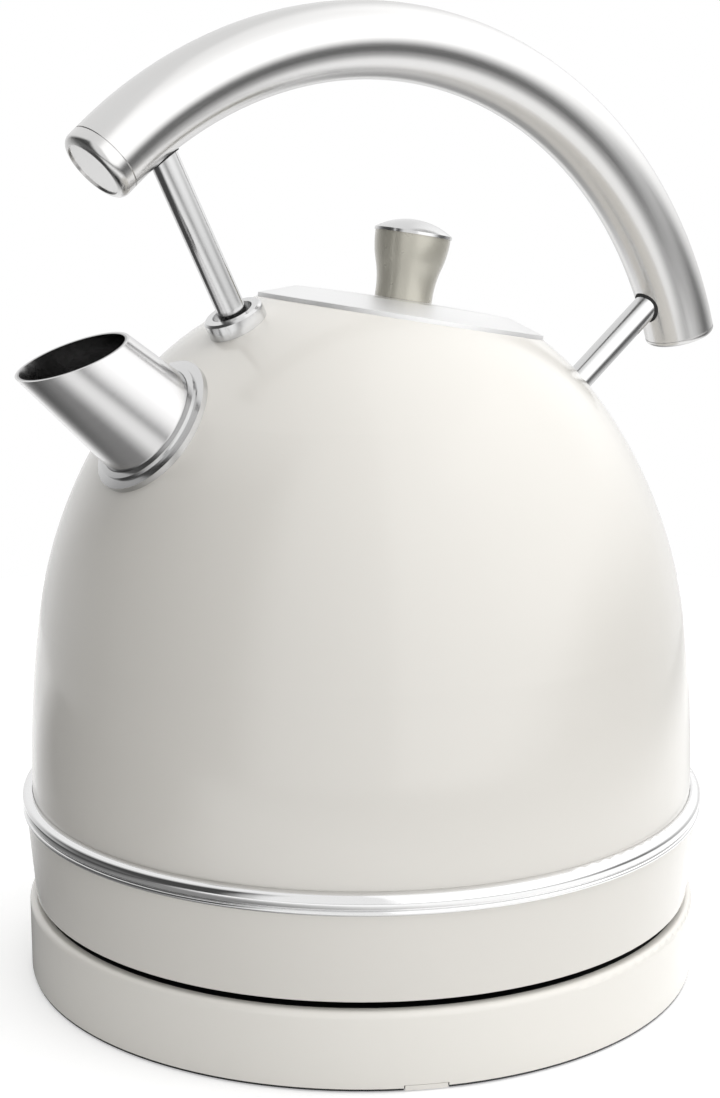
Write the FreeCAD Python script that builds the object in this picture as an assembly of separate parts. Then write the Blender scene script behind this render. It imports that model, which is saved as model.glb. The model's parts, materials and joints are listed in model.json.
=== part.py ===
import FreeCAD, Part
import math
import os

# A dome-shaped electric kettle on its power base, in millimetres and degrees.
# The origin is the centre of the base on the table, +Z is up, the spout points to -X
# and the low end of the arched handle, with the switch under it, is on the +X side.

Vec = FreeCAD.Vector
UP = Vec(0, 0, 1)

# Clearances between pieces that are fixed together, and between pieces that move
fixed_gap = 0.1
moving_gap = 0.4
pivot_gap = 0.05

# Power base: painted band with a top lip, black deck and floor, rubber feet
base_standout = 1.8
base_height = 21.4
base_wall = 1.6
base_edge_round = 1.8
base_lip_width = 3.2
base_lip_thickness = 1.5
base_edge_height = 1.0
deck_thickness = 2.0
base_floor_height = 0.4
base_floor_thickness = 2.0
base_floor_edge_inset = 0.2
foot_count = 4
foot_radius = 7.0
foot_inset = 15.0
foot_first_angle = 45.0
centre_foot_radius = 9.0
foot_recess = 0.8

# Screws of the base floor and of the kettle's underside
screw_count = 3
screw_first_angle = 60.0
screw_radius = 1.5
screw_length = 9.0
screw_head_radius = 3.0
screw_head_height = 1.2
screw_head_gap = 0.2
screw_boss_wall = 2.4
base_screw_inset = 33.0

# Cord gland in the band, and the small blanked slot on the band's opposite side
gland_angle = 66.0
gland_height = 11.0
gland_bore_radius = 3.5
gland_wall = 2.0
gland_inner_length = 4.0
gland_flange_width = 2.0
gland_flange_thickness = 1.2
slot_angle = -114.0
slot_width = 11.6
slot_height = 1.4
slot_end_gap = 0.3

# Round power socket that stands up from the deck, and the plug that drops over it
socket_radius = 17.0
socket_rise = 11.0
socket_edge_round = 2.0
socket_stem_radius = 14.0
socket_flange_radius = 22.0
socket_flange_thickness = 2.0
plug_headroom = 1.5
plug_pin_radius = 2.0
plug_pin_length = 9.0
plug_ring_radius = 9.0
plug_ring_wall = 0.8
plug_ring_length = 8.0
plug_tip_gap = 1.0
contact_thickness = 1.0
glide_ring_width = 9.0
glide_ring_thickness = 1.0

# Kettle skirt and its underside cover
skirt_gap = 2.2
skirt_height = 23.6
skirt_standout = 1.8
skirt_taper = 2.0
skirt_wall = 1.2
skirt_floor_inset = 1.0
skirt_floor_thickness = 2.0
skirt_boss_radius = 31.0

# Bright trim ring: a large bead that dips to a small one under it
trim_standout = 3.1
trim_bead_radius = 2.4
trim_bead_dip = 48.6
trim_foot_bead_radius = 0.7
trim_foot_standout = 2.9

# Dome outline: nearly upright side, tighter shoulder, then a round cap
dome_bottom_radius = 93.4
dome_side_round = 360.0
dome_side_angle = 7.8
dome_shoulder_round = 129.0
dome_shoulder_angle = 37.0
dome_wall = 0.8
dome_tuck = 1.2

# Heating: vessel floor, diffuser, heater loop, control block and its snap discs
vessel_floor_drop = 0.8
vessel_floor_wall = 0.8
vessel_floor_flange = 5.0
vessel_seal_width = 2.4
vessel_seal_height = 1.2
diffuser_gap = 1.8
diffuser_thickness = 3.0
heater_inset = 9.0
heater_tube_radius = 3.5
heater_sweep = 300.0
heater_pin_radius = 1.6
heater_pin_length = 9.0
control_radius = 33.0
control_ear_circle_radius = 36.0
control_ear_height = 6.0
snap_disc_radius = 6.5
snap_disc_thickness = 1.0
snap_disc_offset = 16.0

# Steam tube inside the vessel, down to the steam switch
steam_tube_radius = 6.0
steam_tube_wall = 0.8
steam_tube_inset = 27.6
steam_tube_rise = 86.0
steam_tube_tail = 6.0
steam_flange_width = 2.5
steam_flange_thickness = 1.0

# Switch lever at the back of the skirt, its bracket, pin and pilot lamp
switch_pivot_rise = 9.6
switch_pivot_inset = 10.2
switch_angle = 8.0
switch_pin_radius = 1.5
switch_hub_radius = 3.2
switch_arm_thickness = 3.0
switch_arm_width = 13.0
switch_tail_length = 13.0
paddle_gap = 1.4
paddle_length = 11.0
paddle_width = 20.0
paddle_thickness = 6.0
paddle_round = 1.2
bracket_wall = 2.0
bracket_inner_width = 18.0
bracket_nose = 4.0
steam_disc_radius = 7.0
steam_disc_thickness = 0.8
steam_disc_gap = 0.3
pilot_angle = 16.0
pilot_radius = 2.6
pilot_depth = 4.0
pilot_standout = 0.6

# Spout: tapered tube with a slanted mouth, flange on the dome, strainer inside
spout_anchor_radius = 66.6
spout_angle = 49.5
spout_root_radius = 15.6
spout_mouth_radius = 13.5
spout_length = 29.1
spout_wall = 1.0
spout_mouth_slant = 19.2
flange_step_width = 1.5
flange_width = 3.8
flange_step_height = 2.6
flange_height = 1.6
strainer_height = 1.6
strainer_thickness = 1.0
strainer_hole_radius = 1.6
strainer_pitch = 5.4
strainer_rings = 2

# Arched tube handle, its end caps and the two rods that carry it
handle_centre_x = 1.3
handle_centre_rise = 84.4
handle_arc_radius = 120.5
handle_tube_radius = 10.4
handle_tube_wall = 1.2
handle_front_angle = 133.0
handle_rear_angle = 16.0
front_cap_length = 4.8
front_cap_round = 2.2
front_cap_face_step = 0.4
rear_cap_length = 1.8
rear_cap_round = 1.4
cap_spigot_length = 2.0
cap_seam_depth = 0.3
cap_seam_width = 0.4
spigot_gap = 0.3
rod_radius = 3.9
stud_radius = 3.0
front_rod_dome_radius = 39.4
front_rod_handle_angle = 123.6
rear_rod_dome_radius = 70.4
rear_rod_handle_angle = 24.2
rod_end_depth = 3.0
insert_half_angle = 3.0
gasket_wall = 0.6
gasket_standout = 0.3
collar_radius = 8.2
collar_floor = 1.6
collar_recess_radius = 5.6
front_collar_height = 3.8
rear_collar_height = 2.4
collar_chamfer = 0.6
washer_radius = 7.0
washer_depth = 3.0
nut_radius = 5.8
nut_height = 4.0
stud_tail = 1.0

# Lid, leaning back on the dome's cap, with its liner, seal, knob and knob cap
lid_tilt = 10.6
mouth_radius = 40.4
mouth_ledge_width = 2.9
mouth_ledge_drop = 1.8
mouth_neck_wall = 0.8
mouth_neck_depth = 6.0
lid_wall = 0.9
lid_rim_standout = 1.2
lid_rise = 3.4
lid_top_radius = 29.8
lid_crown = 0.6
liner_gap = 0.9
liner_wall = 1.2
liner_depth = 12.0
liner_boss_radius = 5.0
seal_height = 2.5
seal_drop = 3.0
knob_base_radius = 8.0
knob_base_height = 1.5
knob_top_radius = 10.5
knob_height = 18.0
knob_cap_radius = 10.8
knob_cap_rim = 0.8
knob_cap_height = 4.2
knob_screw_radius = 2.0
knob_screw_head_radius = 4.0
knob_screw_head_height = 2.0
knob_screw_reach = 11.0

# Levels, stacked from the table up
floor_top = base_floor_height + base_floor_thickness
deck_top = base_height - base_lip_thickness
deck_bottom = deck_top - deck_thickness
glide_top = deck_top + glide_ring_thickness
socket_top = deck_top + socket_rise
skirt_bottom = base_height + skirt_gap
skirt_top = skirt_bottom + skirt_height
skirt_floor_bottom = skirt_bottom + skirt_floor_inset
skirt_floor_top = skirt_floor_bottom + skirt_floor_thickness
trim_waist = skirt_top + 2 * trim_foot_bead_radius
trim_bead_height = trim_waist + trim_bead_radius * math.sin(math.radians(trim_bead_dip))
trim_top = trim_bead_height + trim_bead_radius
dome_edge = skirt_top - dome_tuck
vessel_floor_top = trim_top - vessel_floor_drop
diffuser_top = vessel_floor_top - vessel_floor_wall
diffuser_bottom = diffuser_top - diffuser_thickness
control_bottom = socket_top + plug_headroom
control_top = diffuser_bottom - snap_disc_thickness
steam_tube_bottom = vessel_floor_top - steam_tube_tail

# Radii that follow from their neighbours, from the dome's foot outward and down
trim_radius = dome_bottom_radius + trim_standout
trim_foot_radius = dome_bottom_radius + trim_foot_standout
skirt_top_radius = dome_bottom_radius + skirt_standout
skirt_bottom_radius = skirt_top_radius - skirt_taper
skirt_outside = max(skirt_top_radius, skirt_bottom_radius) + skirt_wall
base_radius = skirt_bottom_radius + base_standout
base_inner_radius = base_radius - base_wall
foot_circle_radius = base_radius - foot_inset
base_screw_circle_radius = base_radius - base_screw_inset
vessel_floor_radius = dome_bottom_radius - dome_wall - fixed_gap
socket_hole_radius = socket_radius + moving_gap
screw_boss_radius = screw_radius + screw_boss_wall
steam_tube_x = dome_bottom_radius - steam_tube_inset
diffuser_radius = steam_tube_x - steam_disc_radius - diffuser_gap
heater_loop_radius = diffuser_radius - heater_inset
lid_radius = mouth_radius - moving_gap
neck_radius = mouth_radius - mouth_ledge_width
handle_inner_radius = handle_tube_radius - handle_tube_wall


# Small helpers

def polar(centre, radius, angle):
    """Point (r, z) at an angle from the horizontal around a centre (r, z)."""
    turn = math.radians(angle)
    return centre[0] + radius * math.cos(turn), centre[1] + radius * math.sin(turn)


def point(pair):
    """Point of the XZ plane from (r, z)."""
    return Vec(pair[0], 0, pair[1])


def line(start, end):
    return Part.LineSegment(point(start), point(end)).toShape()


def arc(start, middle, end):
    return Part.Arc(point(start), point(middle), point(end)).toShape()


def lines(pairs):
    """Straight edges through a run of (r, z) points."""
    return [line(start, end) for start, end in zip(pairs, pairs[1:])]


def crown_arc(radius, edge, apex):
    """Shallow arc from an apex on the axis out to an edge."""
    rise = apex - edge
    ball = (radius ** 2 + rise ** 2) / (2 * rise)
    half = radius / 2
    return arc((0, apex), (half, apex - ball + math.sqrt(ball ** 2 - half ** 2)), (radius, edge))


def swell(low, high):
    """Two arcs that bend out and back, upright at both ends."""
    run = (high[0] - low[0]) / 2
    rise = (high[1] - low[1]) / 2
    bend = (run ** 2 + rise ** 2) / (2 * run)
    half_turn = math.degrees(math.asin(rise / bend)) / 2
    middle = (low[0] + run, low[1] + rise)
    low_side = polar((low[0] + bend, low[1]), bend, 180 - half_turn)
    high_side = polar((high[0] - bend, high[1]), bend, -half_turn)
    return [arc(low, low_side, middle), arc(middle, high_side, high)]


def revolve(edges):
    """Solid turned around Z from the edges of a closed outline in the XZ plane."""
    solid = Part.Face(Part.Wire(edges)).revolve(Vec(), UP, 360)
    if solid.Volume < 0:
        solid.reverse()
    return solid


def turned(pairs):
    """Solid turned around Z from the corners of a straight-sided outline."""
    return revolve(lines(pairs + pairs[:1]))


def ring(inner, outer, low, high):
    return turned([(inner, low), (outer, low), (outer, high), (inner, high)])


def disc(radius, low, high):
    return Part.makeCylinder(radius, high - low, Vec(0, 0, low))


def box(low, high):
    return Part.makeBox(high[0] - low[0], high[1] - low[1], high[2] - low[2], Vec(*low))


def moved(shape, x, y=0, z=0):
    return shape.translated(Vec(x, y, z))


def around(shape, count, first=0.0):
    """Copies of a shape spaced evenly around Z."""
    return [shape.rotated(Vec(), UP, first + 360.0 * turn / count) for turn in range(count)]


def around_screws(shape):
    return around(shape, screw_count, screw_first_angle)


def on_axis(shape, origin, direction):
    """Shape made along +Z, placed with its origin and +Z on an axis."""
    placement = FreeCAD.Placement(origin, FreeCAD.Rotation(UP, direction))
    return shape.transformed(placement.toMatrix())


def radial(shape, angle, height):
    """Shape made along +Z, placed to point outward from Z at an angle and a height."""
    turn = math.radians(angle)
    return on_axis(shape, Vec(0, 0, height), Vec(math.cos(turn), math.sin(turn), 0))


def joined(shape, *others):
    return shape.fuse(list(others)).removeSplitter()


def skirt_radius(height):
    """Outer radius of the sloping skirt at a height."""
    share = (height - skirt_bottom) / skirt_height
    return skirt_bottom_radius + share * (skirt_top_radius - skirt_bottom_radius)


# Dome outline: three arcs that run into each other without a kink

side_centre = (dome_bottom_radius - dome_side_round, trim_top)
side_end = polar(side_centre, dome_side_round, dome_side_angle)
shoulder_centre = polar(side_end, -dome_shoulder_round, dome_side_angle)
shoulder_end = polar(shoulder_centre, dome_shoulder_round, dome_shoulder_angle)
cap_radius = shoulder_end[0] / math.cos(math.radians(dome_shoulder_angle))
cap_centre = (0.0, shoulder_end[1] - cap_radius * math.sin(math.radians(dome_shoulder_angle)))


def dome_arc(centre, radius, low, high):
    middle = (low + high) / 2
    return arc(polar(centre, radius, high), polar(centre, radius, middle), polar(centre, radius, low))


def dome_body(offset, bottom):
    """Solid inside the dome's outline, grown or shrunk by an offset, down to a level."""
    edges = [
        dome_arc(cap_centre, cap_radius + offset, dome_shoulder_angle, 90.0),
        dome_arc(shoulder_centre, dome_shoulder_round + offset, dome_side_angle, dome_shoulder_angle),
        dome_arc(side_centre, dome_side_round + offset, 0.0, dome_side_angle),
    ]
    side = dome_bottom_radius + offset
    top = cap_centre[1] + cap_radius + offset
    return revolve(edges + lines([(side, trim_top), (side, bottom), (0, bottom), (0, top)]))


def dome_height(radius):
    """Height of the dome's outer face at a distance from Z."""
    for (centre_r, centre_z), round_radius, limit in (
        (cap_centre, cap_radius, shoulder_end[0]),
        (shoulder_centre, dome_shoulder_round, side_end[0]),
    ):
        if radius <= limit:
            return centre_z + math.sqrt(round_radius ** 2 - (radius - centre_r) ** 2)
    return side_centre[1] + math.sqrt(dome_side_round ** 2 - (radius - side_centre[0]) ** 2)


dome_outside = dome_body(0, dome_edge)
dome_inside = dome_body(-dome_wall, dome_edge)


# Axes of the lid, the spout, the rods and the arched handle

def leaning(angle):
    """Direction in the XZ plane that leans from +Z towards +X by an angle."""
    return Vec(math.sin(math.radians(angle)), 0, math.cos(math.radians(angle)))


lid_axis = leaning(lid_tilt)
lid_origin = point(cap_centre)
mouth_level = math.sqrt(cap_radius ** 2 - mouth_radius ** 2)
lid_seat = mouth_level - mouth_ledge_drop
spout_axis = leaning(-spout_angle)
spout_origin = Vec(-spout_anchor_radius, 0, dome_height(spout_anchor_radius))
handle_centre = (handle_centre_x, trim_top + handle_centre_rise)
handle_low_angle = handle_rear_angle + math.degrees(rear_cap_length / handle_arc_radius)
handle_high_angle = handle_front_angle - math.degrees(front_cap_length / handle_arc_radius)


def handle_point(angle):
    return point(polar(handle_centre, handle_arc_radius, angle))


def handle_bend(radius, low, high):
    """Round bar along the handle's arc between two angles."""
    direction = Vec(-math.sin(math.radians(low)), 0, math.cos(math.radians(low)))
    section = Part.Face(Part.Wire(Part.makeCircle(radius, handle_point(low), direction)))
    return section.revolve(point(handle_centre), Vec(0, -1, 0), high - low)


class Rod:
    """Axis of a handle rod, from its foot on the dome to the handle's centre line."""

    def __init__(self, foot_x, handle_angle):
        self.foot = Vec(foot_x, 0, dome_height(abs(foot_x)))
        run = handle_point(handle_angle) - self.foot
        self.length = run.Length
        self.axis = run / run.Length
        self.handle_angle = handle_angle

    def placed(self, shape):
        return on_axis(shape, self.foot, self.axis)

    def bar(self, radius, low, high):
        return self.placed(disc(radius, low, high))


front = Rod(-front_rod_dome_radius, front_rod_handle_angle)
rear = Rod(rear_rod_dome_radius, rear_rod_handle_angle)


# Power base

def slot_block(width):
    """Block through the band's lower edge and the floor's edge under it, on the slot's side."""
    low = (base_inner_radius, -width / 2, base_floor_height)
    block = box(low, (base_radius + base_wall, width / 2, base_floor_height + slot_height))
    return block.rotated(Vec(), UP, slot_angle)


def base_band():
    edge = base_radius - base_edge_round
    shoulder = base_height - base_edge_round
    corner = polar((edge, shoulder), base_edge_round, 45)
    lip = base_radius - base_lip_width
    outline = lines([(base_radius, base_edge_height), (base_radius, shoulder)])
    outline.append(arc((base_radius, shoulder), corner, (edge, base_height)))
    outline += lines([
        (edge, base_height),
        (lip, base_height),
        (lip, deck_top),
        (base_inner_radius, deck_top),
        (base_inner_radius, base_edge_height),
        (base_radius, base_edge_height),
    ])
    gland_hole = disc(gland_bore_radius + gland_wall + fixed_gap, 0, base_radius + base_wall)
    gland_hole = radial(gland_hole, gland_angle, gland_height)
    return revolve(outline).cut([gland_hole, slot_block(slot_width)])


def slot_blank():
    top = base_floor_height + slot_height - fixed_gap
    wall = ring(base_inner_radius, base_radius, base_floor_height, top)
    return wall.common(slot_block(slot_width - 2 * slot_end_gap))


def cord_gland():
    body_radius = gland_bore_radius + gland_wall
    flange_radius = body_radius + gland_flange_width
    inner_end = base_inner_radius - gland_inner_length
    outer_end = base_radius + gland_flange_thickness
    gland = turned([
        (gland_bore_radius, inner_end),
        (body_radius, inner_end),
        (body_radius, base_radius),
        (flange_radius, base_radius),
        (flange_radius, outer_end),
        (gland_bore_radius, outer_end),
    ])
    return radial(gland, gland_angle, gland_height)


def base_deck():
    plate = ring(socket_radius + fixed_gap, base_inner_radius - fixed_gap, deck_bottom, deck_top)
    boss = ring(screw_radius + pivot_gap, screw_boss_radius, floor_top, deck_bottom)
    return joined(plate, *around_screws(moved(boss, base_screw_circle_radius)))


def screw(head_low):
    """Pan screw, driven upward from a level."""
    shank_low = head_low + screw_head_height
    head = disc(screw_head_radius, head_low, shank_low)
    return joined(head, disc(screw_radius, shank_low, shank_low + screw_length))


def screw_pocket(low, high):
    """Counterbore and through hole for a screw whose head hides above a level."""
    seat = low + screw_head_gap + screw_head_height
    return joined(disc(screw_head_radius + moving_gap, low, seat), disc(screw_radius + fixed_gap, low, high))


def foot_pads(growth, low):
    """Round pads up into the floor: a ring of feet and one under the socket."""
    high = base_floor_height + foot_recess
    foot = disc(foot_radius + growth, low, high)
    centre_foot = disc(centre_foot_radius + growth, low, high)
    return around(moved(foot, foot_circle_radius), foot_count, foot_first_angle) + [centre_foot]


def base_floor():
    plate = disc(base_inner_radius - fixed_gap, base_floor_height, floor_top)
    edge = disc(base_radius - base_floor_edge_inset, base_floor_height, base_edge_height)
    pockets = foot_pads(fixed_gap, base_floor_height)
    pocket = screw_pocket(base_floor_height, floor_top)
    pockets += around_screws(moved(pocket, base_screw_circle_radius))
    return joined(plate, edge).cut(pockets + [slot_block(slot_width)])


def base_feet():
    return Part.makeCompound(foot_pads(0, 0))


def base_screws():
    one = moved(screw(base_floor_height + screw_head_gap), base_screw_circle_radius)
    return Part.makeCompound(around_screws(one))


# Radii of the socket's ring slot, and the levels where the plug's tips end
slot_inner_radius = plug_ring_radius - plug_ring_wall / 2 - moving_gap
slot_outer_radius = plug_ring_radius + plug_ring_wall / 2 + moving_gap
pin_well_bottom = control_bottom - plug_pin_length - plug_tip_gap - contact_thickness
ring_well_bottom = control_bottom - plug_ring_length - plug_tip_gap - contact_thickness


def socket_housing():
    edge = socket_radius - socket_edge_round
    shoulder = socket_top - socket_edge_round
    corner = polar((edge, shoulder), socket_edge_round, 45)
    flange_low = deck_bottom - socket_flange_thickness
    outline = lines([
        (0, socket_top),
        (0, floor_top),
        (socket_stem_radius, floor_top),
        (socket_stem_radius, flange_low),
        (socket_flange_radius, flange_low),
        (socket_flange_radius, deck_bottom),
        (socket_radius, deck_bottom),
        (socket_radius, shoulder),
    ])
    outline.append(arc((socket_radius, shoulder), corner, (edge, socket_top)))
    outline.append(line((edge, socket_top), (0, socket_top)))
    pin_well = disc(plug_pin_radius + moving_gap, pin_well_bottom, socket_top)
    ring_well = ring(slot_inner_radius, slot_outer_radius, ring_well_bottom, socket_top)
    return revolve(outline).cut([pin_well, ring_well])


def socket_contacts():
    button = disc(plug_pin_radius, pin_well_bottom, pin_well_bottom + contact_thickness)
    track_low = slot_inner_radius + fixed_gap
    track_high = slot_outer_radius - fixed_gap
    track = ring(track_low, track_high, ring_well_bottom, ring_well_bottom + contact_thickness)
    return Part.makeCompound([button, track])


def glide_ring():
    return ring(socket_hole_radius, socket_hole_radius + glide_ring_width, deck_top, glide_top)


# Skirt, trim ring and underside cover

switch_pivot_height = skirt_floor_top + switch_pivot_rise
switch_pivot_x = skirt_radius(switch_pivot_height) - switch_pivot_inset


def skirt():
    wall = turned([
        (skirt_bottom_radius - skirt_wall, skirt_bottom),
        (skirt_bottom_radius, skirt_bottom),
        (skirt_top_radius, skirt_top),
        (skirt_top_radius - skirt_wall, skirt_top),
    ])
    reach = switch_pivot_inset + paddle_gap
    half_height = switch_arm_thickness / 2 + reach * math.sin(math.radians(switch_angle)) + moving_gap
    half_width = switch_arm_width / 2 + moving_gap
    slot = box(
        (switch_pivot_x, -half_width, switch_pivot_height - half_height),
        (skirt_outside, half_width, switch_pivot_height + half_height),
    )
    pilot_hole = disc(pilot_radius + fixed_gap, switch_pivot_x, skirt_outside)
    return wall.cut([slot, radial(pilot_hole, pilot_angle, switch_pivot_height)])


def pilot_lens():
    outside = skirt_radius(switch_pivot_height)
    barrel_end = outside + pilot_standout / 2
    apex = outside + pilot_standout
    outline = [crown_arc(pilot_radius, barrel_end, apex)]
    outline += lines([
        (pilot_radius, barrel_end),
        (pilot_radius, outside - pilot_depth),
        (0, outside - pilot_depth),
        (0, apex),
    ])
    return radial(revolve(outline), pilot_angle, switch_pivot_height)


def skirt_floor():
    hole = socket_hole_radius
    narrowest = min(skirt_radius(skirt_floor_bottom), skirt_radius(skirt_floor_top))
    outside = narrowest - skirt_wall - fixed_gap
    plate = turned([
        (hole, glide_top),
        (skirt_boss_radius, glide_top),
        (skirt_boss_radius, skirt_floor_bottom),
        (outside, skirt_floor_bottom),
        (outside, skirt_floor_top),
        (hole, skirt_floor_top),
    ])
    post = moved(disc(screw_boss_radius, skirt_floor_top, control_bottom), control_ear_circle_radius)
    pocket = moved(screw_pocket(skirt_floor_bottom, control_bottom), control_ear_circle_radius)
    return joined(plate, *around_screws(post)).cut(around_screws(pocket))


def floor_screws():
    one = moved(screw(skirt_floor_bottom + screw_head_gap), control_ear_circle_radius)
    return Part.makeCompound(around_screws(one))


def trim_ring():
    inner = dome_bottom_radius + fixed_gap
    bead_centre = (trim_radius - trim_bead_radius, trim_bead_height)
    bead_low = polar(bead_centre, trim_bead_radius, -trim_bead_dip)
    bead_side = polar(bead_centre, trim_bead_radius, 0)
    bead_top = polar(bead_centre, trim_bead_radius, 90)
    foot_r = trim_foot_radius - trim_foot_bead_radius
    foot_side = (trim_foot_radius, skirt_top + trim_foot_bead_radius)
    outline = [
        arc(bead_top, bead_side, bead_low),
        line(bead_low, (foot_r, trim_waist)),
        arc((foot_r, trim_waist), foot_side, (foot_r, skirt_top)),
    ]
    return revolve(outline + lines([(foot_r, skirt_top), (inner, skirt_top), (inner, trim_top), bead_top]))


# Vessel and heating

def dome_shell():
    neck_low = lid_seat - mouth_neck_depth
    ledge_low = lid_seat - mouth_neck_wall
    neck = turned([
        (0, neck_low),
        (neck_radius + mouth_neck_wall, neck_low),
        (neck_radius + mouth_neck_wall, ledge_low),
        (mouth_radius + mouth_neck_wall, ledge_low),
        (mouth_radius + mouth_neck_wall, cap_radius),
        (0, cap_radius),
    ])
    mouth = joined(disc(neck_radius, 0, 2 * cap_radius), disc(mouth_radius, lid_seat, 2 * cap_radius))
    neck = on_axis(neck, lid_origin, lid_axis)
    mouth = on_axis(mouth, lid_origin, lid_axis)
    spout_hole = disc(spout_root_radius - spout_wall - fixed_gap, -spout_root_radius, spout_root_radius)
    holes = [mouth, on_axis(spout_hole, spout_origin, spout_axis)]
    holes += [rod.bar(stud_radius + fixed_gap, -washer_depth, washer_depth) for rod in (front, rear)]
    wall = dome_outside.cut(dome_inside)
    return wall.fuse(neck.common(dome_outside)).removeSplitter().cut(holes)


def vessel_floor():
    flange_low = vessel_floor_top - vessel_floor_flange
    dish = turned([
        (0, vessel_floor_top),
        (0, diffuser_top),
        (vessel_floor_radius - vessel_floor_wall, diffuser_top),
        (vessel_floor_radius - vessel_floor_wall, flange_low),
        (vessel_floor_radius, flange_low),
        (vessel_floor_radius, vessel_floor_top),
    ])
    return dish.cut(moved(disc(steam_tube_radius + fixed_gap, diffuser_top, vessel_floor_top), steam_tube_x))


def vessel_seal():
    inner = vessel_floor_radius - vessel_seal_width
    return ring(inner, vessel_floor_radius, vessel_floor_top, vessel_floor_top + vessel_seal_height)


def diffuser_plate():
    return disc(diffuser_radius, diffuser_bottom, diffuser_top)


def heating_element():
    centre = Vec(heater_loop_radius, 0, diffuser_bottom - heater_tube_radius)
    section = Part.Face(Part.Wire(Part.makeCircle(heater_tube_radius, centre, Vec(0, 1, 0))))
    loop = section.revolve(Vec(), UP, heater_sweep)
    inset = math.degrees(heater_pin_radius / heater_loop_radius)
    pin = moved(disc(heater_pin_radius, centre.z - heater_pin_length, centre.z), heater_loop_radius)
    pins = [pin.rotated(Vec(), UP, angle) for angle in (inset, heater_sweep - inset)]
    return joined(loop, *pins).rotated(Vec(), UP, 180 + (360 - heater_sweep) / 2)


def control_housing():
    body = disc(control_radius, control_bottom, control_top)
    ear = disc(screw_boss_radius, control_bottom, control_bottom + control_ear_height)
    ear = moved(ear, control_ear_circle_radius)
    tip = skirt_floor_bottom + screw_head_gap + screw_head_height + screw_length
    bore = moved(disc(screw_radius + pivot_gap, control_bottom, tip + fixed_gap), control_ear_circle_radius)
    return joined(body, *around_screws(ear)).cut(around_screws(bore))


def snap_discs():
    one = moved(disc(snap_disc_radius, control_top, diffuser_bottom), 0, snap_disc_offset)
    return Part.makeCompound(around(one, 2))


def plug_contacts():
    pin = disc(plug_pin_radius, control_bottom - plug_pin_length, control_bottom)
    half_wall = plug_ring_wall / 2
    sleeve = ring(
        plug_ring_radius - half_wall,
        plug_ring_radius + half_wall,
        control_bottom - plug_ring_length,
        control_bottom,
    )
    return Part.makeCompound([pin, sleeve])


def steam_tube():
    inner = steam_tube_radius - steam_tube_wall
    flange_radius = steam_tube_radius + steam_flange_width
    flange_top = vessel_floor_top + steam_flange_thickness
    top = vessel_floor_top + steam_tube_rise
    tube = turned([
        (inner, steam_tube_bottom),
        (steam_tube_radius, steam_tube_bottom),
        (steam_tube_radius, vessel_floor_top),
        (flange_radius, vessel_floor_top),
        (flange_radius, flange_top),
        (steam_tube_radius, flange_top),
        (steam_tube_radius, top),
        (inner, top),
    ])
    return moved(tube, steam_tube_x)


# Switch at the back of the skirt

shelf_top = steam_tube_bottom - steam_disc_gap - steam_disc_thickness


def switch_bracket():
    half = bracket_inner_width / 2
    outer = half + bracket_wall
    back = steam_tube_x - steam_disc_radius
    nose = switch_pivot_x + bracket_nose
    plate = box((back, -outer, skirt_floor_top), (nose, outer, skirt_floor_top + bracket_wall))
    shelf_end = steam_tube_x + steam_disc_radius
    shelf = box((back, -outer, shelf_top - bracket_wall), (shelf_end, outer, shelf_top))
    cheek = box((back, half, skirt_floor_top), (nose, outer, shelf_top))
    pin_hole = Part.makeCylinder(
        switch_pin_radius + pivot_gap,
        2 * outer,
        Vec(switch_pivot_x, -outer, switch_pivot_height),
        Vec(0, 1, 0),
    )
    bracket = joined(plate, shelf, cheek, cheek.mirror(Vec(), Vec(0, 1, 0)))
    return bracket.cut(pin_hole)


def steam_disc():
    return moved(disc(steam_disc_radius, shelf_top, shelf_top + steam_disc_thickness), steam_tube_x)


def across(radius, half_length):
    """Round bar along Y through the switch's pivot."""
    start = Vec(switch_pivot_x, -half_length, switch_pivot_height)
    return Part.makeCylinder(radius, 2 * half_length, start, Vec(0, 1, 0))


def switch_pin():
    return across(switch_pin_radius, bracket_inner_width / 2 + bracket_wall)


def switch_lever():
    half_arm = switch_arm_thickness / 2
    paddle_start = switch_pivot_inset + paddle_gap
    arm = box(
        (-switch_tail_length, -switch_arm_width / 2, -half_arm),
        (paddle_start + paddle_round, switch_arm_width / 2, half_arm),
    )
    paddle = box(
        (paddle_start, -paddle_width / 2, -paddle_thickness / 2),
        (paddle_start + paddle_length, paddle_width / 2, paddle_thickness / 2),
    )
    paddle = paddle.makeFillet(paddle_round, paddle.Edges)
    arm = moved(joined(arm, paddle), switch_pivot_x, 0, switch_pivot_height)
    hub = across(switch_hub_radius, bracket_inner_width / 2 - moving_gap)
    lever = joined(hub, arm).cut(across(switch_pin_radius + pivot_gap, bracket_inner_width))
    return lever.rotated(Vec(switch_pivot_x, 0, switch_pivot_height), Vec(0, 1, 0), -switch_angle)


# Spout

spout_slope = (spout_root_radius - spout_mouth_radius) / spout_length


def spout_radius(height):
    """Outer radius of the tapered spout at a distance along its axis."""
    return spout_root_radius - spout_slope * height


def spout():
    low = -spout_root_radius
    high = 2 * spout_length
    tube = turned([
        (spout_radius(low) - spout_wall, low),
        (spout_radius(low), low),
        (spout_radius(high), high),
        (spout_radius(high) - spout_wall, high),
    ])
    tube = on_axis(tube, spout_origin, spout_axis)
    mouth = spout_origin + spout_axis * spout_length
    above = on_axis(disc(2 * high, 0, 2 * high), mouth, leaning(-spout_mouth_slant))
    return tube.cut([dome_outside, above])


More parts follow.
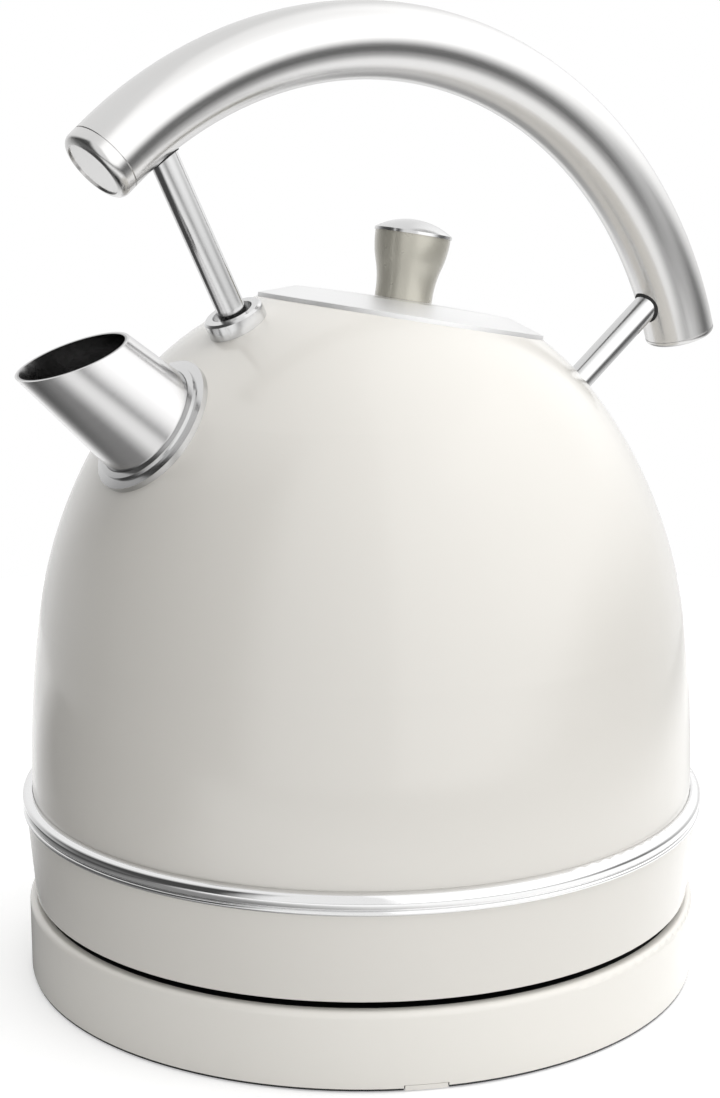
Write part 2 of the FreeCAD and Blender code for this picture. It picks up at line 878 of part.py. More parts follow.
def spout_flange():
    reach = 2 * flange_step_height + spout_root_radius / 2
    low_bore = spout_radius(-reach) + fixed_gap
    high_bore = spout_radius(reach) + fixed_gap

    def band(width, height):
        outside = spout_root_radius + fixed_gap + width
        sleeve = turned([(low_bore, -reach), (outside, -reach), (outside, reach), (high_bore, reach)])
        return on_axis(sleeve, spout_origin, spout_axis).common(dome_body(height, dome_edge))

    step = band(flange_step_width, flange_step_height)
    return joined(step, band(flange_width, flange_height)).cut(dome_outside)


def spout_strainer():
    top = strainer_height + strainer_thickness
    plate = disc(spout_radius(top) - spout_wall - fixed_gap, strainer_height, top)
    hole = disc(strainer_hole_radius, strainer_height, top)
    holes = [hole]
    for circle in range(1, strainer_rings + 1):
        holes += around(moved(hole, circle * strainer_pitch), 6 * circle)
    return on_axis(plate.cut(holes), spout_origin, spout_axis)


# Handle

def handle_tube():
    bend = handle_bend(handle_tube_radius, handle_low_angle, handle_high_angle)
    bore = handle_bend(handle_inner_radius, handle_low_angle, handle_high_angle)
    hole_radius = rod_radius + gasket_wall + fixed_gap
    holes = [rod.bar(hole_radius, 0, rod.length) for rod in (front, rear)]
    return bend.cut([bore] + holes)


def handle_cap(length, edge_round, face_step):
    """End cap with a spigot in the tube, a seam groove, a round edge and a set-in face."""
    spigot = handle_inner_radius - spigot_gap
    seam = handle_tube_radius - cap_seam_depth
    flat = handle_tube_radius - edge_round
    round_start = length - edge_round
    corner = polar((flat, round_start), edge_round, 45)
    outline = lines([
        (0, length - face_step),
        (0, -cap_spigot_length),
        (spigot, -cap_spigot_length),
        (spigot, 0),
        (seam, 0),
        (seam, min(cap_seam_width, round_start / 2)),
        (handle_tube_radius, min(cap_seam_width, round_start / 2)),
        (handle_tube_radius, round_start),
    ])
    outline.append(arc((handle_tube_radius, round_start), corner, (flat, length)))
    outline += lines([(flat, length), (flat, length - face_step), (0, length - face_step)])
    return revolve(outline)


def handle_front_cap():
    angle = math.radians(handle_high_angle)
    cap = handle_cap(front_cap_length, front_cap_round, front_cap_face_step)
    return on_axis(cap, handle_point(handle_high_angle), Vec(-math.sin(angle), 0, math.cos(angle)))


def handle_rear_cap():
    angle = math.radians(handle_low_angle)
    cap = handle_cap(rear_cap_length, rear_cap_round, rear_cap_round / 4)
    return on_axis(cap, handle_point(handle_low_angle), Vec(math.sin(angle), 0, -math.cos(angle)))


def handle_inserts():
    inserts = []
    for rod in (front, rear):
        low = rod.handle_angle - insert_half_angle
        core = handle_bend(handle_inner_radius - fixed_gap, low, low + 2 * insert_half_angle)
        inserts.append(core.cut(rod.bar(rod_radius + pivot_gap, 0, rod.length + rod_end_depth)))
    return Part.makeCompound(inserts)


def rod_gaskets():
    gaskets = []
    for rod in (front, rear):
        start = rod.length - 2 * handle_tube_radius
        sleeve = ring(rod_radius + pivot_gap, rod_radius + gasket_wall, start, rod.length)
        sleeve = rod.placed(sleeve)
        low = rod.handle_angle - 3 * insert_half_angle
        high = rod.handle_angle + 3 * insert_half_angle
        sleeve = sleeve.common(handle_bend(handle_tube_radius + gasket_standout, low, high))
        gaskets.append(sleeve.cut(handle_bend(handle_inner_radius, low, high)))
    return Part.makeCompound(gaskets)


def handle_rod(rod):
    tail = -washer_depth - nut_height - stud_tail
    bar = disc(rod_radius, collar_floor, rod.length + rod_end_depth)
    return rod.placed(joined(bar, disc(stud_radius, tail, collar_floor)))


def rod_collar(rod, height):
    hole = stud_radius + fixed_gap
    low = -collar_radius / 2
    collar = turned([
        (hole, low),
        (collar_radius, low),
        (collar_radius, height - collar_chamfer),
        (collar_radius - collar_chamfer, height),
        (collar_recess_radius, height),
        (collar_recess_radius, collar_floor),
        (hole, collar_floor),
    ])
    return rod.placed(collar).cut(dome_outside)


def rod_washers():
    inner = stud_radius + fixed_gap
    washers = [rod.placed(ring(inner, washer_radius, -washer_depth, washer_depth)) for rod in (front, rear)]
    return Part.makeCompound([washer.common(dome_inside) for washer in washers])


def rod_nuts():
    corners = [polar((0, 0), nut_radius, 60 * side) for side in range(7)]
    wire = Part.makePolygon([Vec(x, y, -washer_depth - nut_height) for x, y in corners])
    block = Part.Face(wire).extrude(UP * nut_height)
    bore = disc(stud_radius + pivot_gap, -washer_depth - nut_height, -washer_depth)
    return Part.makeCompound([rod.placed(block.cut(bore)) for rod in (front, rear)])


# Lid, made along its own axis from the centre of the dome's cap

lid_rim_top = mouth_level + lid_rim_standout
lid_top = lid_rim_top + lid_rise
lid_apex = lid_top + lid_crown
liner_radius = neck_radius - liner_gap
liner_bottom = mouth_level - liner_depth
knob_top = lid_apex + knob_height


def lid_cover():
    bevel = math.atan2(lid_rise, lid_radius - lid_top_radius)
    drop = lid_wall * math.tan((math.pi / 2 - bevel) / 2)
    top_inset = lid_wall * math.tan(bevel / 2)
    outline = [crown_arc(lid_top_radius, lid_top, lid_apex)]
    outline += lines([
        (lid_top_radius, lid_top),
        (lid_radius, lid_rim_top),
        (lid_radius, lid_seat),
        (lid_radius - lid_wall, lid_seat),
        (lid_radius - lid_wall, lid_rim_top - drop),
        (lid_top_radius - top_inset, lid_top - lid_wall),
        (0, lid_top - lid_wall),
        (0, lid_apex),
    ])
    screw_hole = disc(knob_screw_radius + fixed_gap, lid_seat, lid_apex)
    return on_axis(revolve(outline).cut(screw_hole), lid_origin, lid_axis)


def lid_liner():
    boss_top = lid_top - lid_wall
    wall_top = mouth_level
    bore = knob_screw_radius + fixed_gap
    floor_inside = liner_bottom + liner_wall
    liner = turned([
        (bore, liner_bottom),
        (liner_radius, liner_bottom),
        (liner_radius, wall_top),
        (liner_radius - liner_wall, wall_top),
        (liner_radius - liner_wall, floor_inside),
        (liner_boss_radius, floor_inside),
        (liner_boss_radius, boss_top),
        (bore, boss_top),
    ])
    return on_axis(liner, lid_origin, lid_axis)


def lid_seal():
    high = lid_seat - seal_drop
    seal = ring(liner_radius + fixed_gap / 2, neck_radius - moving_gap, high - seal_height, high)
    return on_axis(seal, lid_origin, lid_axis)


def knob():
    foot = (knob_base_radius, lid_apex + knob_base_height)
    shoulder = (knob_top_radius, knob_top)
    bore_radius = knob_screw_radius + pivot_gap
    bore_top = lid_apex + knob_screw_reach + fixed_gap
    outline = [line((knob_base_radius, lid_apex), foot)] + swell(foot, shoulder)
    outline += lines([
        shoulder,
        (0, knob_top),
        (0, bore_top),
        (bore_radius, bore_top),
        (bore_radius, lid_apex),
        (knob_base_radius, lid_apex),
    ])
    return on_axis(revolve(outline), lid_origin, lid_axis)


def knob_cap():
    rim = knob_top + knob_cap_rim
    apex = knob_top + knob_cap_height
    outline = [crown_arc(knob_cap_radius, rim, apex)]
    outline += lines([(knob_cap_radius, rim), (knob_cap_radius, knob_top), (0, knob_top), (0, apex)])
    return on_axis(revolve(outline), lid_origin, lid_axis)


def knob_screw():
    head_low = liner_bottom - knob_screw_head_height
    head = disc(knob_screw_head_radius, head_low, liner_bottom)
    shank = disc(knob_screw_radius, liner_bottom, lid_apex + knob_screw_reach)
    return on_axis(joined(head, shank), lid_origin, lid_axis)


# One file for each piece

pieces = {
    "base_band": base_band(),
    "base_deck": base_deck(),
    "base_floor": base_floor(),
    "base_feet": base_feet(),
    "base_screws": base_screws(),
    "cord_gland": cord_gland(),
    "slot_blank": slot_blank(),
    "socket_housing": socket_housing(),
    "socket_contacts": socket_contacts(),
    "glide_ring": glide_ring(),
    "skirt": skirt(),
    "skirt_floor": skirt_floor(),
    "floor_screws": floor_screws(),
    "trim_ring": trim_ring(),
    "dome_shell": dome_shell(),
    "vessel_floor": vessel_floor(),
    "vessel_seal": vessel_seal(),
    "diffuser_plate": diffuser_plate(),
    "heating_element": heating_element(),
    "control_housing": control_housing(),
    "snap_discs": snap_discs(),
    "plug_contacts": plug_contacts(),
    "steam_tube": steam_tube(),
    "steam_disc": steam_disc(),
    "switch_bracket": switch_bracket(),
    "switch_pin": switch_pin(),
    "switch_lever": switch_lever(),
    "pilot_lens": pilot_lens(),
    "spout": spout(),
    "spout_flange": spout_flange(),
    "spout_strainer": spout_strainer(),
    "handle_tube": handle_tube(),
    "handle_front_cap": handle_front_cap(),
    "handle_rear_cap": handle_rear_cap(),
    "handle_inserts": handle_inserts(),
    "rod_gaskets": rod_gaskets(),
    "front_rod": handle_rod(front),
    "rear_rod": handle_rod(rear),
    "front_collar": rod_collar(front, front_collar_height),
    "rear_collar": rod_collar(rear, rear_collar_height),
    "rod_washers": rod_washers(),
    "rod_nuts": rod_nuts(),
    "lid_cover": lid_cover(),
    "lid_liner": lid_liner(),
    "lid_seal": lid_seal(),
    "knob": knob(),
    "knob_cap": knob_cap(),
    "knob_screw": knob_screw(),
}

os.makedirs("parts", exist_ok=True)
for name, shape in pieces.items():
    shape.exportStep("parts/" + name + ".step")
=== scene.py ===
import json
import math

import bpy
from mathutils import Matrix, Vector


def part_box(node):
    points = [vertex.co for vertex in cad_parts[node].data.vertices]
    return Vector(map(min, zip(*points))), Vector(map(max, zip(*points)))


# Looks of a dome-shaped electric kettle on its power base, in metres, in the frame of the part.

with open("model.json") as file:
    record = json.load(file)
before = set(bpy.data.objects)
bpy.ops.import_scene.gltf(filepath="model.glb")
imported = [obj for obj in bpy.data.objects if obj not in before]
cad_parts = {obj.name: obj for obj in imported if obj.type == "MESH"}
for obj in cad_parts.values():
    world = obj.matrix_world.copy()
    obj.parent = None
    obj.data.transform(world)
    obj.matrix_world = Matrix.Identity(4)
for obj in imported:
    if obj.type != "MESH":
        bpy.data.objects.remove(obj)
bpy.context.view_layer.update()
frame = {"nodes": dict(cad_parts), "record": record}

# Axes and sizes that the finishes follow
UPRIGHT_ORIGIN = (0.0, 0.0, 0.0)
HANDLE_CENTRE = (0.0013, 0.0, 0.1372)
HANDLE_RADIUS = 0.1205
SPOUT_ORIGIN = (-0.0666, 0.0, 0.1600)
SPOUT_LEAN = math.radians(-49.5)
SPOUT_RADIUS = 0.0156
SPOUT_TAPER = 0.0722
LID_ORIGIN = (0.0, 0.0, 0.1126)
LID_LEAN = math.radians(10.6)
LID_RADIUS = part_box("lid_cover")[1][1]

# Depths in from the outside at which the spout's painted inner shade, or the lid's dull rim, starts and is
# full
SPOUT_SKIN = (0.0004, 0.0007)
LID_RIM = (0.0006, 0.0002)

# Changes of a brushing line per radian along the handle's arc, around its tube and around a turned piece
LINES_ALONG_HANDLE = 4.0
LINES_AROUND_HANDLE = 60.0
LINES_AROUND_AXIS = 1.5

# Range that most of a noise texture's values fall in
NOISE_RANGE = (0.3, 0.7)

# The camera's place, bearing, dip and lens, as the photo was taken
CAMERA_PLACE = (-0.3371, -0.4998, 0.2516)
CAMERA_TURN = math.radians(34.0)
CAMERA_DIP = math.radians(12.458)
CAMERA_LENS = 72.13
CAMERA_SENSOR = 36.0
CAMERA_SHIFT = -0.00108
CAMERA_CLIP = (0.01, 50.0)
TOWARDS_CAMERA = (-math.sin(CAMERA_TURN), -math.cos(CAMERA_TURN), 0.0)
TO_ITS_RIGHT = (math.cos(CAMERA_TURN), -math.sin(CAMERA_TURN), 0.0)


class Nodes:
    """Short ways to add nodes to a tree and to join them."""

    def __init__(self, tree):
        self.tree = tree

    def add(self, kind, **settings):
        node = self.tree.nodes.new(kind)
        for name, value in settings.items():
            setattr(node, name, value)
        return node

    def join(self, output, target):
        self.tree.links.new(output, target)

    def put(self, target, value):
        """Sets an input from a number, a vector or another node's output."""
        if isinstance(value, bpy.types.NodeSocket):
            self.join(value, target)
        else:
            target.default_value = value

    def math(self, operation, first, second=0.0):
        node = self.add("ShaderNodeMath", operation=operation)
        self.put(node.inputs[0], first)
        self.put(node.inputs[1], second)
        return node.outputs[0]

    def product(self, first, *others):
        for other in others:
            first = self.math("MULTIPLY", first, other)
        return first

    def split(self, vector):
        node = self.add("ShaderNodeSeparateXYZ")
        self.join(vector, node.inputs[0])
        return node.outputs

    def vector(self, x, y, z):
        node = self.add("ShaderNodeCombineXYZ")
        for target, value in zip(node.inputs, (x, y, z)):
            self.put(target, value)
        return node.outputs[0]

    def length(self, x, y):
        return self.math("SQRT", self.math("ADD", self.product(x, x), self.product(y, y)))

    def along(self, vector, direction):
        """How far a vector reaches along a direction."""
        node = self.add("ShaderNodeVectorMath", operation="DOT_PRODUCT")
        self.join(vector, node.inputs[0])
        node.inputs[1].default_value = direction
        return node.outputs["Value"]

    def spread(self, value, low, high, start, end):
        """Goes from low to high while a value goes from start to end."""
        node = self.add("ShaderNodeMapRange")
        self.join(value, node.inputs["Value"])
        node.inputs["From Min"].default_value = start
        node.inputs["From Max"].default_value = end
        node.inputs["To Min"].default_value = low
        node.inputs["To Max"].default_value = high
        return node.outputs["Result"]

    def blend(self, share, first, second):
        """A number between two others."""
        node = self.add("ShaderNodeMix", data_type="FLOAT")
        for target, value in zip(("Factor", "A", "B"), (share, first, second)):
            self.put(node.inputs[target], value)
        return node.outputs["Result"]


class Finish(Nodes):
    """A material with a principled shader and its textures."""

    def __init__(self, name, colour, roughness, metallic=0.0):
        self.material = bpy.data.materials.new(name)
        self.material.use_nodes = True
        super().__init__(self.material.node_tree)
        self.shader = self.tree.nodes["Principled BSDF"]
        self.shader.inputs["Base Color"].default_value = (*colour, 1.0)
        self.shader.inputs["Metallic"].default_value = metallic
        self.shader.inputs["Roughness"].default_value = roughness
        self.colour = colour
        self.roughness = roughness
        self.place = self.add("ShaderNodeTexCoord").outputs["Object"]

    def coat(self, weight, roughness):
        self.shader.inputs["Coat Weight"].default_value = weight
        self.shader.inputs["Coat Roughness"].default_value = roughness

    def far(self, place):
        """How far a point of the surface is from a place."""
        node = self.add("ShaderNodeVectorMath", operation="DISTANCE")
        self.join(self.place, node.inputs[0])
        node.inputs[1].default_value = place
        return node.outputs["Value"]

    def noise(self, scale, detail=2.0, rough=0.5, place=None):
        node = self.add("ShaderNodeTexNoise")
        self.join(place or self.place, node.inputs["Vector"])
        node.inputs["Scale"].default_value = scale
        node.inputs["Detail"].default_value = detail
        node.inputs["Roughness"].default_value = rough
        return node.outputs["Fac"]

    def shade(self, share):
        """The surface's own colour made lighter or darker."""
        return (*[share * c for c in self.colour], 1.0)

    def tint(self, value, low, high):
        """Colours the surface between two shades of its own colour."""
        mix = self.add("ShaderNodeMix", data_type="RGBA")
        self.join(value, mix.inputs["Factor"])
        mix.inputs["A"].default_value = self.shade(low)
        mix.inputs["B"].default_value = self.shade(high)
        self.join(mix.outputs["Result"], self.shader.inputs["Base Color"])

    def paint_shade(self, share, shade):
        """Paints shade: takes the colour down to a darker one by a share."""
        mix = self.add("ShaderNodeMix", data_type="RGBA")
        target = self.shader.inputs["Base Color"]
        self.join(share, mix.inputs["Factor"])
        self.join(target.links[0].from_socket, mix.inputs["A"])
        mix.inputs["B"].default_value = self.shade(shade)
        self.join(mix.outputs["Result"], target)

    def vary_roughness(self, value, amount):
        result = self.spread(value, self.roughness - amount, self.roughness + amount, *NOISE_RANGE)
        self.join(result, self.shader.inputs["Roughness"])

    def dull(self, share, roughness):
        """Takes the roughness to a duller one by a share."""
        target = self.shader.inputs["Roughness"]
        self.join(self.blend(share, target.links[0].from_socket, roughness), target)

    def bump(self, height, depth, strength):
        node = self.add("ShaderNodeBump")
        node.inputs["Strength"].default_value = strength
        node.inputs["Distance"].default_value = depth
        self.join(height, node.inputs["Height"])
        for target in ("Normal", "Coat Normal"):
            self.join(node.outputs["Normal"], self.shader.inputs[target])


def turned_place(finish, origin, lean):
    """Coordinates around an axis in the XZ plane: radius, turn angle and height along it."""
    shift = finish.add("ShaderNodeMapping", vector_type="TEXTURE")
    shift.inputs["Location"].default_value = origin
    shift.inputs["Rotation"].default_value = (0.0, lean, 0.0)
    finish.join(finish.place, shift.inputs["Vector"])
    x, y, z = finish.split(shift.outputs["Vector"])
    return finish.length(x, y), finish.math("ARCTAN2", y, x), z


def streaked(finish, place, roughness_change, depth, contrast):
    """Brushing lines from a stretched texture."""
    lines = finish.noise(scale=1.0, detail=4.0, rough=0.6, place=place)
    finish.tint(lines, low=1.0 - contrast, high=1.0 + contrast)
    finish.vary_roughness(lines, roughness_change)
    finish.bump(lines, depth, strength=0.4)


def turning_marks(finish, angle, level, fineness=2500.0):
    """Lines that are long around an axis and fine across it."""
    around = finish.product(angle, LINES_AROUND_AXIS)
    place = finish.vector(around, finish.product(level, fineness), 0.0)
    streaked(finish, place, roughness_change=0.02, depth=0.000001, contrast=0.03)


def paint(name, colour):
    """Gloss enamel with a fine orange-peel skin."""
    finish = Finish(name, colour, roughness=0.40)
    finish.coat(weight=0.9, roughness=0.10)
    finish.tint(finish.noise(scale=9.0, detail=3.0), low=0.985, high=1.01)
    finish.vary_roughness(finish.noise(scale=60.0, detail=3.0), amount=0.03)
    finish.bump(finish.noise(scale=420.0), depth=0.00005, strength=0.35)
    return finish.material


def handle_finish(name, colour, roughness):
    """Satin steel with its brushing along the arched tube."""
    finish = Finish(name, colour, roughness, metallic=1.0)
    x, y, z = finish.split(finish.place)
    run = finish.math("SUBTRACT", x, HANDLE_CENTRE[0])
    rise = finish.math("SUBTRACT", z, HANDLE_CENTRE[2])
    angle = finish.math("ARCTAN2", rise, run)
    off = finish.math("SUBTRACT", finish.length(run, rise), HANDLE_RADIUS)
    around = finish.math("ARCTAN2", y, off)
    along = finish.product(angle, LINES_ALONG_HANDLE)
    across = finish.product(around, LINES_AROUND_HANDLE)
    place = finish.vector(along, across, 0.0)
    streaked(finish, place, roughness_change=0.04, depth=0.000004, contrast=0.06)
    return finish.material


def turned_finish(name, colour, roughness, fineness):
    """Satin metal with turning marks around the upright axis."""
    finish = Finish(name, colour, roughness, metallic=1.0)
    radius, angle, height = turned_place(finish, UPRIGHT_ORIGIN, 0.0)
    turning_marks(finish, angle, finish.math("ADD", radius, height), fineness)
    return finish.material


def spout_finish(name, colour, roughness, painted_inside_shade):
    """Turned satin steel with painted shade that makes it darker inside the tapered tube."""
    finish = Finish(name, colour, roughness, metallic=1.0)
    radius, angle, height = turned_place(finish, SPOUT_ORIGIN, SPOUT_LEAN)
    turning_marks(finish, angle, height)
    outside = finish.math("SUBTRACT", SPOUT_RADIUS, finish.product(height, SPOUT_TAPER))
    depth = finish.math("SUBTRACT", outside, radius)
    # Painted shade: the inside of the tube is coloured darker
    finish.paint_shade(finish.spread(depth, 0.0, 1.0, *SPOUT_SKIN), painted_inside_shade)
    return finish.material


def lid_finish(name, colour, roughness, rim_roughness):
    """Spun satin steel with a duller rim."""
    finish = Finish(name, colour, roughness, metallic=1.0)
    radius, angle, height = turned_place(finish, LID_ORIGIN, LID_LEAN)
    turning_marks(finish, angle, finish.math("ADD", radius, height))
    start, end = [LID_RADIUS - depth for depth in LID_RIM]
    finish.dull(finish.spread(radius, 0.0, 1.0, start, end), rim_roughness)
    return finish.material


def polished(name, colour, roughness):
    """Bright metal with faint wiping marks."""
    finish = Finish(name, colour, roughness, metallic=1.0)
    finish.tint(finish.noise(scale=35.0, detail=3.0), low=0.97, high=1.03)
    finish.vary_roughness(finish.noise(scale=180.0, detail=4.0), amount=0.025)
    finish.bump(finish.noise(scale=600.0), depth=0.00001, strength=0.15)
    return finish.material


def moulded(name, colour, roughness, grain=900.0, depth=0.00004, coat=0.0, metallic=0.0):
    """Plastic or rubber with a fine moulded grain."""
    finish = Finish(name, colour, roughness, metallic)
    finish.coat(coat, roughness=0.15)
    finish.tint(finish.noise(scale=40.0, detail=3.0), low=0.96, high=1.04)
    finish.vary_roughness(finish.noise(scale=150.0, detail=3.0), amount=0.04)
    finish.bump(finish.noise(grain), depth, strength=0.4)
    return finish.material


# Finishes of the record's material slots
plain_steel = turned_finish("plain steel", (0.60, 0.60, 0.60), roughness=0.30, fineness=600.0)
black = moulded("black plastic", (0.020, 0.020, 0.021), roughness=0.45)
by_slot = {
    "cream_paint": paint("cream enamel", (0.80, 0.775, 0.725)),
    "black_plastic": black,
    "foot_rubber": moulded("black rubber", (0.025, 0.025, 0.025), roughness=0.75),
    "screw_steel": plain_steel,
    "contact_brass": polished("contact brass", (0.78, 0.56, 0.25), roughness=0.22),
    "glide_plastic": moulded("pale plastic", (0.62, 0.61, 0.57), roughness=0.45),
    "bright_trim": polished("polished steel", (0.80, 0.80, 0.80), roughness=0.10),
    "vessel_steel": plain_steel,
    "seal_silicone": moulded("silicone", (0.60, 0.60, 0.57), roughness=0.55),
    "aluminium": turned_finish("machined aluminium", (0.72, 0.72, 0.73), roughness=0.32, fineness=900.0),
    "brushed_steel": handle_finish("brushed handle steel", (0.66, 0.655, 0.65), roughness=0.22),
    "knob_plastic": moulded(
        "beige plastic",
        (0.53, 0.51, 0.44),
        roughness=0.30,
        grain=500.0,
        depth=0.00001,
        coat=0.6,
        metallic=0.4,
    ),
    "liner_plastic": black,
    "pilot_plastic": moulded(
        "amber lens",
        (0.75, 0.20, 0.04),
        roughness=0.15,
        grain=300.0,
        depth=0.00001,
    ),
}

# Finishes of single pieces that differ from the rest of their slot
# The base band and slot blank get a lighter copy of the cream, painted to stand in for light bounced up
# from the table
base_cream_painted_lighter = paint("cream base enamel painted lighter", (0.90, 0.875, 0.82))
rod_steel = polished("satin rod steel", (0.66, 0.66, 0.66), roughness=0.18)
by_node = {
    "spout": spout_finish("brushed spout steel", (0.64, 0.635, 0.635), roughness=0.20, painted_inside_shade=0.5),
    "lid_cover": lid_finish("spun lid steel", (0.90, 0.90, 0.90), roughness=0.30, rim_roughness=0.60),
    "base_band": base_cream_painted_lighter,
    "slot_blank": base_cream_painted_lighter,
}
for name in ("front_rod", "rear_rod", "front_collar", "rear_collar", "spout_flange", "knob_cap"):
    by_node[name] = rod_steel

for part in frame["record"]["subparts"]:
    node = frame["nodes"][part["node"]]
    node.data.materials.clear()
    node.data.materials.append(by_node.get(part["node"], by_slot[part["material_slot"]]))


# Stage: a round white table, soft lamps and a studio around them

TABLE_RADIUS = 0.50
TABLE_SIDES = 96
TABLE_COLOUR = 0.80
TABLE_ROUGHNESS = 0.9
TABLE_GLOW = 0.38
TABLE_SHINE = 0.36

# Painted shadows on the table, and a painted pool of light around the kettle: centre, light there, light
# away from it, and the two radii between which it changes
PAINTED_SHADOW_UNDER_SPOUT = ((-0.123, 0.015, 0.0), 0.25, 1.0, 0.08, 0.18)
PAINTED_SHADOW_BEHIND = ((0.148, 0.165, 0.0), 0.35, 1.0, 0.08, 0.19)
PAINTED_SHADE_FAR_LEFT = ((-0.380, 0.220, 0.0), 0.05, 1.0, 0.22, 0.32)
PAINTED_LIGHT_POOL = ((-0.068, 0.167, 0.0), 1.0, 0.33, 0.42, 0.56)


def table_white():
    """Matt white that glows for the camera and in what is mirrored.

    The painted shadows and the painted pool of light are in what is mirrored, and the painted shade far to
    the left is in diffuse light too.
    """
    finish = Finish("table white", (TABLE_COLOUR, TABLE_COLOUR, TABLE_COLOUR), TABLE_ROUGHNESS)
    rays = finish.add("ShaderNodeLightPath").outputs

    def painted_light(place):
        centre, *change = place
        return finish.spread(finish.far(centre), *change)

    # Painted shadows and a painted pool of light, multiplied into the table's colour for all rays but the
    # camera's
    painted_left_shade = painted_light(PAINTED_SHADE_FAR_LEFT)
    mirrored = finish.product(painted_light(PAINTED_SHADOW_UNDER_SPOUT), painted_light(PAINTED_SHADOW_BEHIND), painted_light(PAINTED_LIGHT_POOL), painted_left_shade)
    white = finish.blend(rays["Is Diffuse Ray"], 1.0, painted_left_shade)
    white = finish.blend(rays["Is Glossy Ray"], white, mirrored)
    finish.join(finish.product(white, TABLE_COLOUR), finish.shader.inputs["Base Color"])
    seen = finish.math("MAXIMUM", rays["Is Camera Ray"], rays["Is Transmission Ray"])
    shine = finish.product(rays["Is Glossy Ray"], mirrored, TABLE_SHINE)
    glow = finish.math("ADD", shine, finish.product(seen, TABLE_GLOW))
    finish.shader.inputs["Emission Color"].default_value = (1.0, 1.0, 1.0, 1.0)
    finish.join(glow, finish.shader.inputs["Emission Strength"])
    return finish.material


bpy.ops.mesh.primitive_circle_add(vertices=TABLE_SIDES, radius=TABLE_RADIUS, fill_type="NGON")
table = bpy.context.object
table.name = "table"
table.data.materials.append(table_white())

LAMP_SIZE = 1.2
LAMP_AIM = Vector((0.0, 0.0, 0.12))


def soft_lamp(name, place, power, mirrored):
    """Soft square lamp aimed at the middle of the kettle."""
    data = bpy.data.lights.new(name, "AREA")
    data.shape = "SQUARE"
    data.size = LAMP_SIZE
    data.energy = power
    lamp = bpy.data.objects.new(name, data)
    lamp.location = place
    lamp.rotation_mode = "QUATERNION"
    lamp.rotation_quaternion = (LAMP_AIM - Vector(place)).to_track_quat("-Z", "Y")
    lamp.visible_glossy = mirrored
    bpy.context.scene.collection.objects.link(lamp)


soft_lamp("key", (0.75, -0.85, 0.85), power=0.6, mirrored=True)
soft_lamp("top", (0.35, -0.35, 1.25), power=6.8, mirrored=False)

# Light of the studio walls by turn in degrees, which is 0 at the camera and 90 on its right
WALL_LIGHT = {
    -180: 1.00,
    -140: 1.00,
    -118: 0.08,
    -45: 0.06,
    -30: 0.98,
    30: 1.00,
    75: 0.72,
    150: 0.72,
    180: 1.00,
}

# Ceiling that leans down behind: its light behind and in front, where that changes, and where it starts
CEILING_LEAN = math.radians(30.0)
CEILING_LIGHT = (1.15, 0.72)
CEILING_CHANGE = (-0.80, 0.0)
CEILING_START = (0.50, 0.75)

# Floor around the table: light behind and in front, where that changes, how it rises in front, and its edge
FLOOR_LIGHT = (0.90, 0.16)
FLOOR_CHANGE = (-0.80, -0.20)
FLOOR_RISE = 0.6
FLOOR_EDGE = (0.0, 0.30)

# Dark card and bright window, which show only where they are mirrored, by turn in degrees and by height
CARD_SHADE = 0.07
CARD_START = (-140.0, -118.0)
CARD_END = (-45.0, -30.0)
CARD_TOP = (0.38, 0.62)
WINDOW_SHINE = 0.60
WINDOW_START = (9.0, 14.04)
WINDOW_END = (144.0, 172.8)
WINDOW_TOP = (0.75, 1.0)
WINDOW_TOP_SHARE = 0.4


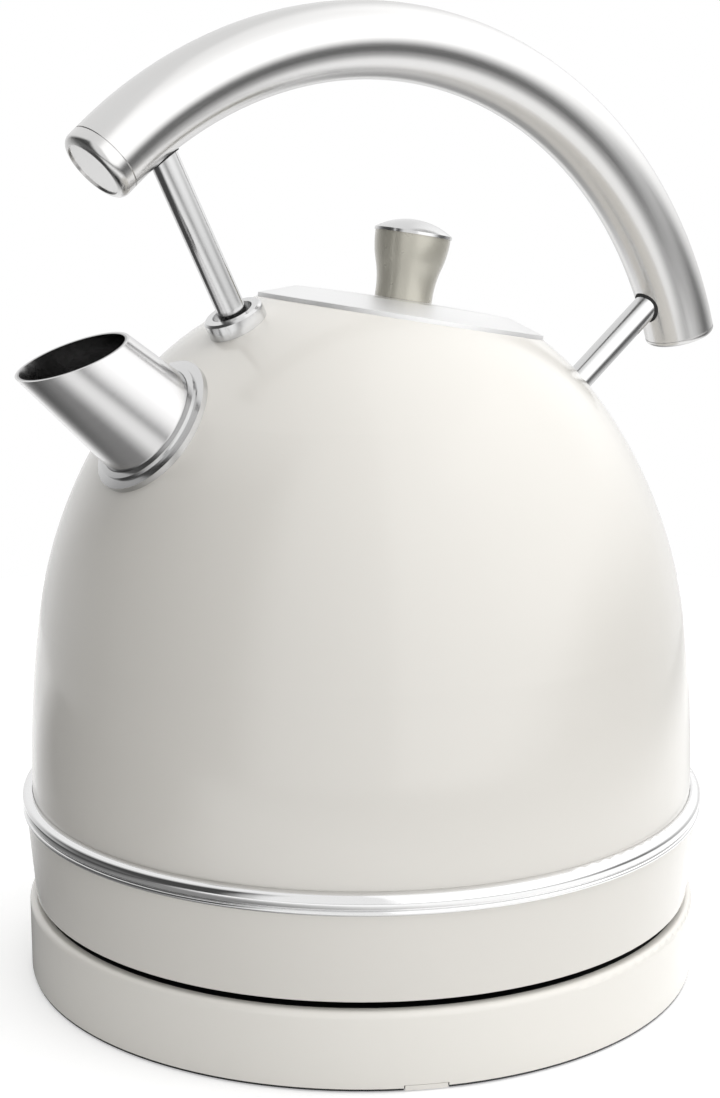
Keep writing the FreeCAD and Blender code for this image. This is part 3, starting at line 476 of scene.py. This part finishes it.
class Studio(Nodes):
    """Surround that is plain white to the camera.

    It is mirrored with the card, the window and the floor. Diffuse light comes from the room and the floor.
    """

    def __init__(self):
        world = bpy.data.worlds.new("studio")
        bpy.context.scene.world = world
        world.use_nodes = True
        super().__init__(world.node_tree)
        self.tree.nodes.clear()
        facing = self.add("ShaderNodeTexCoord").outputs["Generated"]
        self.near = self.along(facing, TOWARDS_CAMERA)
        self.height = self.along(facing, (0.0, 0.0, 1.0))
        turn = self.math("ARCTAN2", self.along(facing, TO_ITS_RIGHT), self.near)
        self.turn = self.math("DEGREES", turn)
        rise = self.product(self.height, math.cos(CEILING_LEAN))
        self.overhead = self.math("SUBTRACT", rise, self.product(self.near, math.sin(CEILING_LEAN)))

    def walls(self):
        ramp = self.add("ShaderNodeValToRGB")
        self.join(self.spread(self.turn, 0.0, 1.0, min(WALL_LIGHT), max(WALL_LIGHT)), ramp.inputs["Fac"])
        stops = ramp.color_ramp.elements
        while len(stops) < len(WALL_LIGHT):
            stops.new(0.5)
        for stop, (angle, light) in zip(stops, WALL_LIGHT.items()):
            stop.position = (angle + 180) / 360
            stop.color = (light, light, light, 1.0)
        return ramp.outputs["Color"]

    def room(self):
        """Light from the walls and the ceiling."""
        ceiling = self.spread(self.near, *CEILING_LIGHT, *CEILING_CHANGE)
        return self.blend(self.spread(self.overhead, 0.0, 1.0, *CEILING_START), self.walls(), ceiling)

    def mirrored(self):
        """White with the card in front of it and the window's light added."""
        card = self.product(
            self.spread(self.turn, 0.0, 1.0, *CARD_START),
            self.spread(self.turn, 1.0, 0.0, *CARD_END),
            self.spread(self.overhead, 1.0, 0.0, *CARD_TOP),
        )
        window = self.product(
            self.spread(self.turn, 0.0, WINDOW_SHINE, *WINDOW_START),
            self.spread(self.turn, 1.0, 0.0, *WINDOW_END),
            self.spread(self.height, 1.0, WINDOW_TOP_SHARE, *WINDOW_TOP),
        )
        return self.math("ADD", self.blend(card, 1.0, CARD_SHADE), window)

    def light(self):
        rays = self.add("ShaderNodeLightPath").outputs
        floor = self.spread(self.near, *FLOOR_LIGHT, *FLOOR_CHANGE)
        rise = self.product(self.math("MAXIMUM", self.near, 0.0), FLOOR_RISE)
        below = self.spread(self.math("ADD", self.height, rise), 1.0, 0.0, *FLOOR_EDGE)
        seen = self.math("MAXIMUM", rays["Is Camera Ray"], rays["Is Transmission Ray"])
        plain = self.blend(seen, self.blend(below, self.room(), floor), 1.0)
        strength = self.blend(rays["Is Glossy Ray"], plain, self.blend(below, self.mirrored(), floor))
        background = self.add("ShaderNodeBackground")
        background.inputs["Color"].default_value = (1.0, 1.0, 1.0, 1.0)
        self.join(strength, background.inputs["Strength"])
        self.join(background.outputs[0], self.add("ShaderNodeOutputWorld").inputs["Surface"])


Studio().light()

# Camera
camera_data = bpy.data.cameras.new("camera")
camera_data.lens = CAMERA_LENS
camera_data.sensor_width = CAMERA_SENSOR
camera_data.shift_x = CAMERA_SHIFT
camera_data.clip_start, camera_data.clip_end = CAMERA_CLIP
camera = bpy.data.objects.new("camera", camera_data)
flat = math.cos(CAMERA_DIP)
looking = Vector((math.sin(CAMERA_TURN) * flat, math.cos(CAMERA_TURN) * flat, -math.sin(CAMERA_DIP)))
camera.location = CAMERA_PLACE
camera.rotation_mode = "QUATERNION"
camera.rotation_quaternion = looking.to_track_quat("-Z", "Y")
bpy.context.scene.collection.objects.link(camera)
bpy.context.scene.camera = camera
bpy.context.scene.view_settings.view_transform = "Standard"
